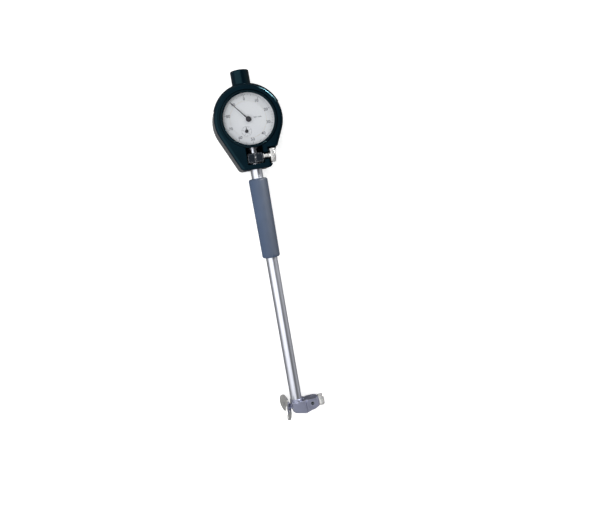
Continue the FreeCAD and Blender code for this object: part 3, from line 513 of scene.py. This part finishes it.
strokes("counter_strokes", counter_centre, counter_z, 10, lambda i: (COUNTER_R - COUNTER_STROKE, COUNTER_R),
        lambda i: FINE, "frame")
print_ring("counter_rim", counter_centre, COUNTER_R, RIM_LINE, counter_z, "frame")
words("counter_numbers", numbers_round(counter_centre, COUNTER_NUMBER_RING, 0.0, 10,
                                       {n: str(n) for n in (2, 4, 6, 8)}),
      COUNTER_NUMBER_HEIGHT, counter_z, "frame")
words("graduation", [("0.01 mm", *GRADUATION_AT)], GRADUATION_HEIGHT, counter_z, "frame")
print("counter at", counter_centre / MM)

# %% [markdown]
# ## Knurled pieces
# A knurl gives fingers a hold. It is a turned rim pressed into fine teeth, so the rim's radius is a
# wave round the axis. One function turns a profile about X and presses teeth where the profile says.

# %% Knurled turning
STEPS_PER_TOOTH = 6


def knurled(name, x0, centre, profile, teeth, depth, material, body, replaced):
    """Turns (x, radius, knurl) rows about X; knurl is how deep the teeth are there, from 0 to 1."""
    mesh = bpy.data.meshes.new(name)
    bm = bmesh.new()
    count = teeth * STEPS_PER_TOOTH
    rows = []
    for along, radius, knurl in profile:
        row = []
        for i in range(count):
            angle = tau * i / count
            notch = abs(2 * (i / STEPS_PER_TOOTH % 1.0) - 1)
            r = radius - depth * knurl * notch ** 1.5
            row.append(bm.verts.new((x0 + along, centre.y + r * sin(angle), centre.z + r * cos(angle))))
        rows.append(row)
    for low, high in zip(rows, rows[1:]):
        for i in range(count):
            j = (i + 1) % count
            bm.faces.new((low[i], low[j], high[j], high[i]))
    if profile[0] == profile[-1]:
        bmesh.ops.remove_doubles(bm, verts=bm.verts, dist=1e-7)
    else:
        bm.faces.new(list(reversed(rows[0])))
        bm.faces.new(rows[-1])
    bmesh.ops.recalc_face_normals(bm, faces=bm.faces)
    bm.to_mesh(mesh)
    bm.free()
    mesh.shade_smooth()
    mesh.set_sharp_from_angle(angle=radians(40))
    piece = to_piece(name, mesh, material, body)
    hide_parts(replaced)
    return piece


# %% [markdown]
# The clamp screw has a shank, a shoulder and a thin knurled head, dished on its outer face.

# %% Clamp screw
low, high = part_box("clamp_screw")
knob_r = (high.y - low.y) / 2
shank_r, shoulder_r = 1.5 * MM, 3.0 * MM
KNOB_W = 5.6 * MM             # the knurled head's width
KNOB_FACE = 1.2 * MM          # how far its flat faces stop short of the rim
KNOB_ROUND = 0.45 * MM        # each of the two steps that round the rim
SHANK_CHAMFER, SHOULDER_CHAMFER = 0.4 * MM, 0.2 * MM
DISH = 0.8 * MM               # how deep the outer face is dished
DISH_WALL = 0.1 * MM          # how far the dish's foot is above its floor
length = high.x - low.x
head_x = length - KNOB_W
shoulder_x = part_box("clamp_washer")[1].x - low.x
knob_profile = [
    (0, shank_r - SHANK_CHAMFER, 0), (SHANK_CHAMFER, shank_r, 0), (shoulder_x, shank_r, 0),
    (shoulder_x, shoulder_r - SHOULDER_CHAMFER, 0), (shoulder_x + SHOULDER_CHAMFER, shoulder_r, 0),
    (head_x, shoulder_r, 0), (head_x, knob_r - KNOB_FACE, 0),
    (head_x + KNOB_ROUND, knob_r - KNOB_ROUND * 0.3, 0.5), (head_x + 2 * KNOB_ROUND, knob_r, 1),
    (length - 2 * KNOB_ROUND, knob_r, 1), (length - KNOB_ROUND, knob_r - KNOB_ROUND * 0.3, 0.5),
    (length, knob_r - KNOB_FACE, 0), (length, shoulder_r + 1.4 * MM, 0),
    (length - DISH + DISH_WALL, shoulder_r + 0.8 * MM, 0), (length - DISH, 1.0 * MM, 0),
]
knurled("clamp_screw_knurled", low.x, middle("clamp_screw"), knob_profile, 44, 0.34 * MM, bright_nickel,
        "knob", "clamp_screw")
print("knurled head", round(2 * knob_r / MM, 1), "mm across")

# %% [markdown]
# The anvil nut is a short knurled cap with a hole for the anvil. Its profile closes on itself, down
# the outside and back through the hole.

# %% Anvil nut
low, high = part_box("anvil_nut")
nut_r = (high.y - low.y) / 2
nut_w = high.x - low.x
bore_r, thread_r = 3.2 * MM, 4.44 * MM
LIP = 4.5 * MM                # how deep the thread goes before the smaller hole
NUT_ROUND = 0.9 * MM          # from each face to the full knurl
NUT_STEP, NUT_DROP = 0.6 * MM, 0.1 * MM              # the point between the two
BORE_CHAMFER = 0.5 * MM
nut_profile = [
    (0, thread_r, 0), (0, nut_r - NUT_ROUND, 0), (NUT_STEP, nut_r - NUT_DROP, 0.6), (NUT_ROUND, nut_r, 1),
    (nut_w - NUT_ROUND, nut_r, 1), (nut_w - NUT_STEP, nut_r - NUT_DROP, 0.6), (nut_w, nut_r - NUT_ROUND, 0),
    (nut_w, bore_r + BORE_CHAMFER, 0), (nut_w - BORE_CHAMFER, bore_r, 0), (LIP, bore_r, 0),
    (LIP, thread_r, 0), (0, thread_r, 0),
]
knurled("anvil_nut_knurled", low.x, middle("anvil_nut"), nut_profile, 36, 0.3 * MM, bright_nickel,
        "nut", "anvil_nut")
print("nut", round(2 * nut_r / MM, 1), "mm across,", round(nut_w / MM, 1), "mm wide")
